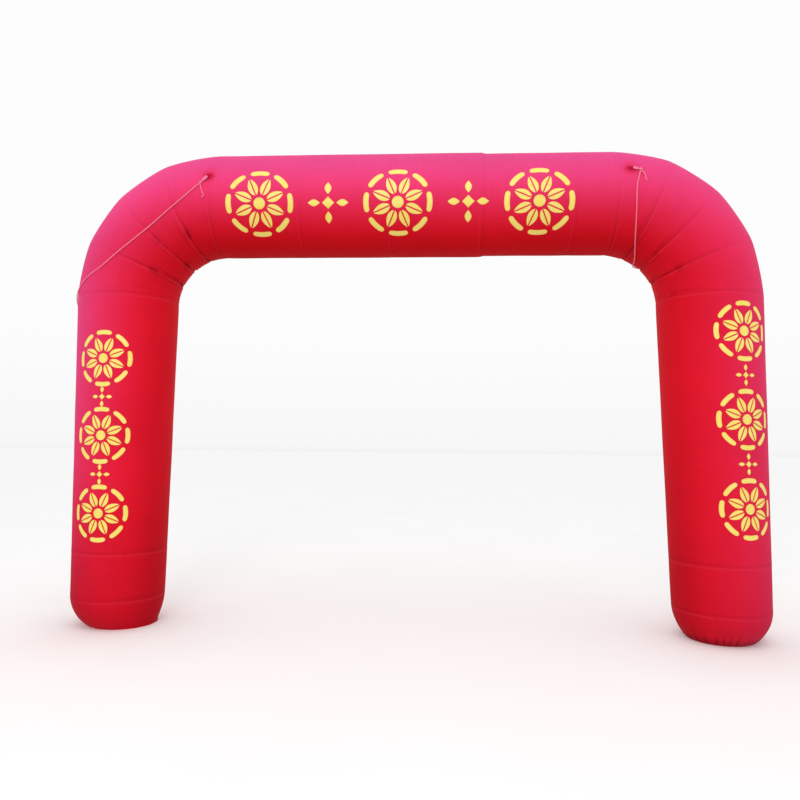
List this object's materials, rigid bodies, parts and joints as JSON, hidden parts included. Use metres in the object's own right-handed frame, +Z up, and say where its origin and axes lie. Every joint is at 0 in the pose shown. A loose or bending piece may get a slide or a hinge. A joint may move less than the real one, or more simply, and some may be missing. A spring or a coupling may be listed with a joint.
{
  "type": "inflatable arch",
  "caption": "Free-standing air-filled entrance arch: two round legs, gored bends and a straight beam of red cloth, with a guy rope tied to each shoulder.",
  "frame": {"origin": "on the ground, at the middle of the arch's bounding box without its ropes, midway between the outsides of the two legs", "axes": "+X along the beam towards the leg with the further foot, +Y from the face with the rope ties towards the back, +Z up"},
  "size_m": [6.0085, 1.1726, 4.1572],
  "materials": {
    "tube_cloth": "coated oxford cloth, crimson with a soft pink sheen and a yellow printed ornament",
    "tie_cloth": "the same cloth, gathered and doubled, deep red",
    "rope": "twisted nylon rope, pale pink"
  },
  "bodies": {
    "root": {"left_foot": "tube_cloth", "left_leg_band": "tube_cloth", "left_leg": "tube_cloth", "left_gore_1": "tube_cloth", "left_gore_2": "tube_cloth", "left_gore_3": "tube_cloth", "left_gore_4": "tube_cloth", "right_foot": "tube_cloth", "right_leg_band": "tube_cloth", "right_leg": "tube_cloth", "right_gore_1": "tube_cloth", "right_gore_2": "tube_cloth", "right_gore_3": "tube_cloth", "right_gore_4": "tube_cloth", "beam_panel_1": "tube_cloth", "beam_panel_2": "tube_cloth", "beam_panel_3": "tube_cloth", "beam_panel_4": "tube_cloth", "beam_panel_5": "tube_cloth", "left_tie_patch": "tie_cloth", "left_tie_tab": "tie_cloth", "left_tie_knot": "rope", "left_guy_rope": "rope", "left_guy_coil": "rope", "right_tie_patch": "tie_cloth", "right_tie_tab": "tie_cloth", "right_tie_knot": "rope", "right_guy_rope": "rope", "right_guy_coil": "rope"}
  },
  "joints": []
}
